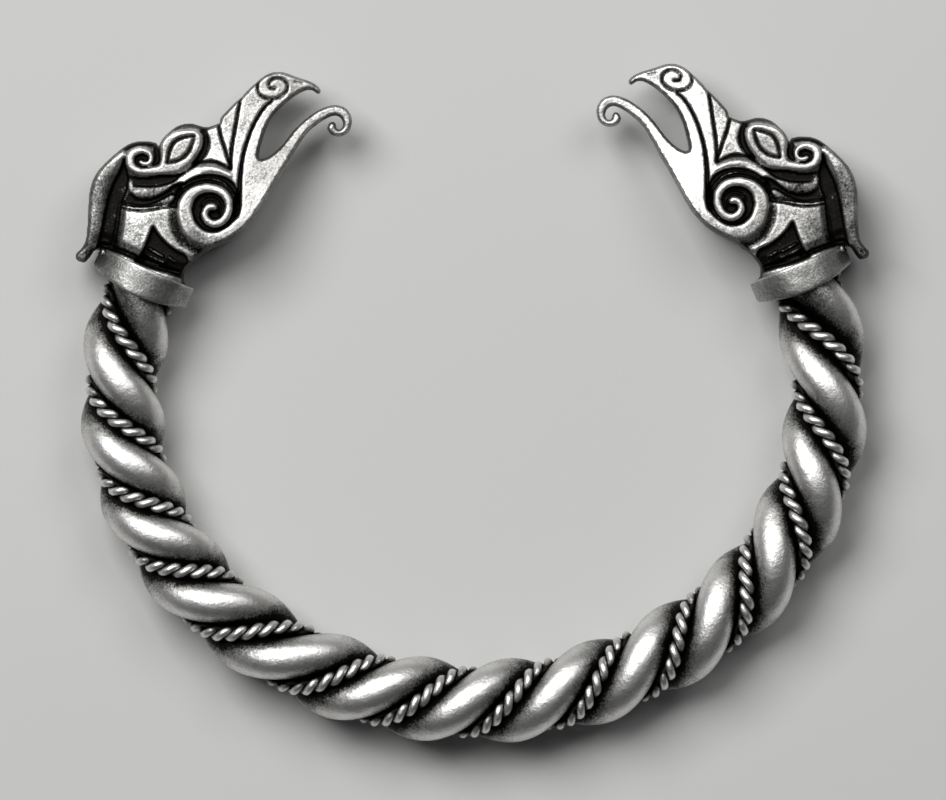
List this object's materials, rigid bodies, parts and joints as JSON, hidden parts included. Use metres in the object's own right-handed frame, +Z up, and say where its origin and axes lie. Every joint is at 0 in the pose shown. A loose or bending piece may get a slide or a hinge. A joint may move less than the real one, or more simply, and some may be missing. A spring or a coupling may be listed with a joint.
{
  "type": "arm ring",
  "caption": "Open arm ring of two thick silver rods and two fine twisted wires wound into a rope, with a collar and a bird's head with an open beak at each end.",
  "frame": {"origin": "on the surface the ring lies on, under the middle of its outline", "axes": "+Z up from the surface, +Y from the back of the rope towards the two heads, +X to the right of the heads seen from above"},
  "size_m": [0.0792, 0.0677, 0.0103],
  "materials": {
    "rods": "polished silver with fine pits, darkened in the grooves",
    "wires": "twisted silver wire, dark between its turns",
    "collars": "worn silver, a little dulled",
    "heads": "cast silver, bright on the crests and black in the recesses"
  },
  "bodies": {
    "root": {"rod_1": "rods", "rod_2": "rods", "wire_1": "wires", "wire_2": "wires", "collar_left": "collars", "collar_right": "collars", "head_left": "heads", "head_right": "heads"}
  },
  "joints": []
}
